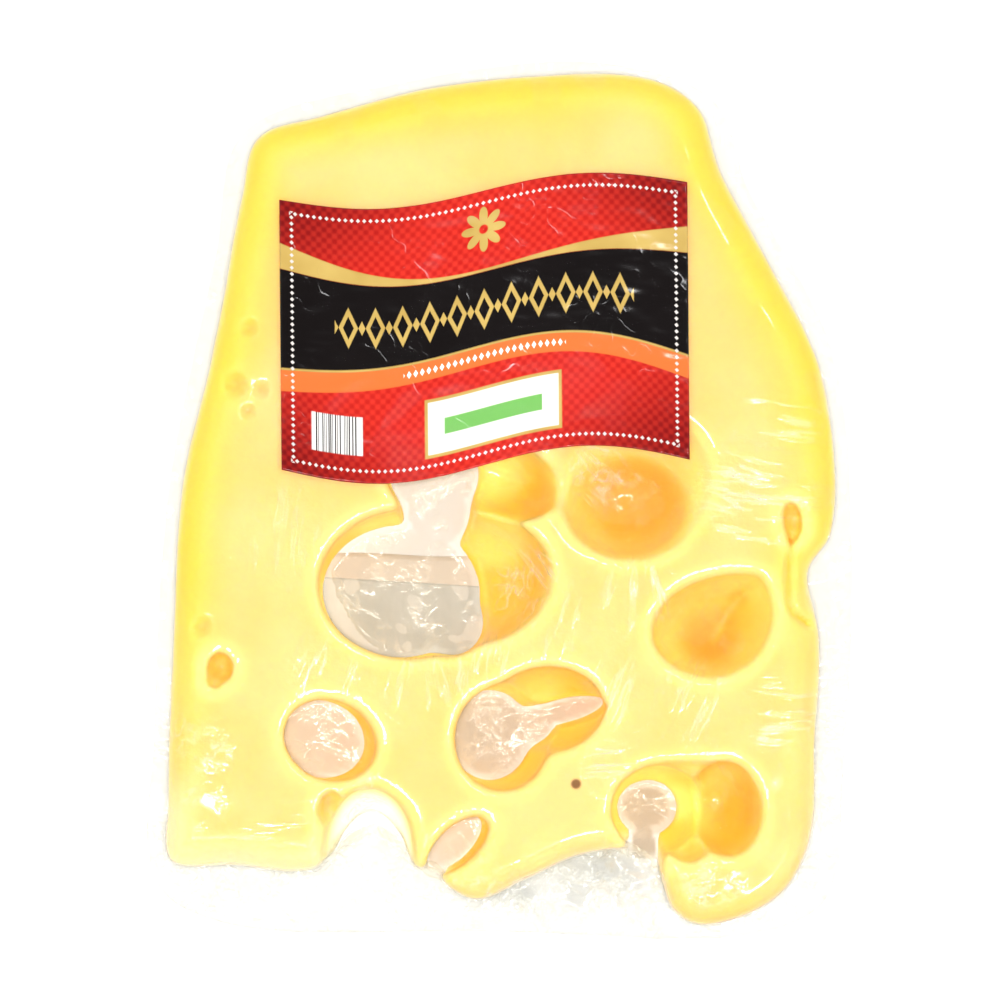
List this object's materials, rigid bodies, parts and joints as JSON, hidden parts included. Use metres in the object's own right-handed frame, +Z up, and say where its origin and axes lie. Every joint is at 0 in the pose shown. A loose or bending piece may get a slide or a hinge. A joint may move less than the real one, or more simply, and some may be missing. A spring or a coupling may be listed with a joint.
{
  "type": "cheese wedge",
  "caption": "Thick ragged-edged cut of holed yellow cheese, sealed in clear shrink film, with a red and black paper label on its face and a plain sticker beneath.",
  "frame": {"origin": "middle of the whole pack's footprint, film margin included, on the surface that it lies on", "axes": "+Z up, out of the labelled face; +Y along the slab's length, from its ragged cut edge to its rind end; +X to the right of the label as it is read"},
  "size_m": [0.1448, 0.18, 0.0243],
  "materials": {
    "cheese": "smooth and waxy, slightly moist, with soft light through it",
    "film": "clear, glossy and finely wrinkled",
    "label": "glossy coated print, softly creased",
    "sticker": "matte and faintly mottled"
  },
  "bodies": {
    "root": {"cheese_in_film": "cheese", "front_label": "label", "back_sticker": "sticker"}
  },
  "joints": []
}
